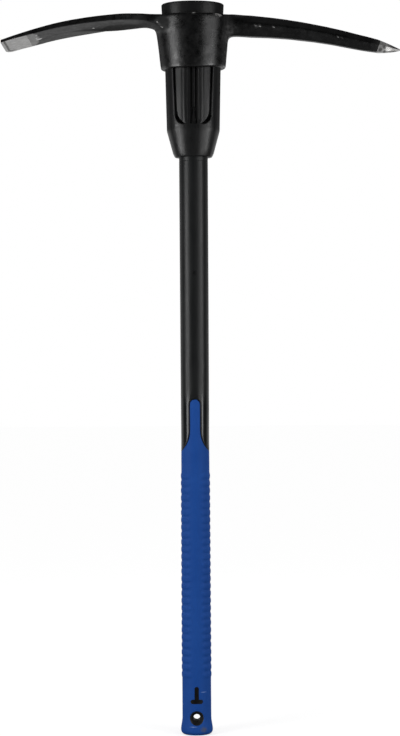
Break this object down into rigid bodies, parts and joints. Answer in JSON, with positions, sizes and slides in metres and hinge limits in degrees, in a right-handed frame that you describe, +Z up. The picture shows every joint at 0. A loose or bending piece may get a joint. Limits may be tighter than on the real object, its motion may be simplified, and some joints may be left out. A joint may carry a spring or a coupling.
{
  "type": "pick mattock",
  "caption": "Pick mattock: a forged head with an adze blade and a pick point, wedged by its tapered eye on a jacketed fibreglass handle with a ribbed rubber grip and a hang hole.",
  "frame": {"origin": "centre of the butt's flat end, on the handle's axis", "axes": "+Z up the handle towards the head, +X from the handle towards the pick point, -X towards the adze, +Y from the marked front to the back"},
  "size_m": [0.498, 0.0784, 0.914],
  "materials": {
    "black_steel": "satin black paint over forged steel, ground bright at the adze bevel and the pick point",
    "black_nylon": "satin moulded black nylon",
    "epoxy": "cured amber epoxy",
    "fibreglass": "cut end of a pultruded glass fibre rod",
    "black_jacket": "satin moulded black polypropylene",
    "blue_rubber": "matt blue moulded rubber"
  },
  "bodies": {
    "handle": {"eye_sleeve": "black_nylon", "epoxy_bond": "epoxy", "fibreglass_core": "fibreglass", "handle_jacket": "black_jacket", "grip": "blue_rubber", "grip_inlay": "black_jacket", "hang_hole_eyelet": "black_jacket"},
    "head": {"mattock_head": "black_steel"}
  },
  "joints": [
    {"name": "head_slide", "type": "slide", "parent": "handle", "child": "head", "axis": [0, 0, -1], "range_m": [0, 0.82]}
  ]
}
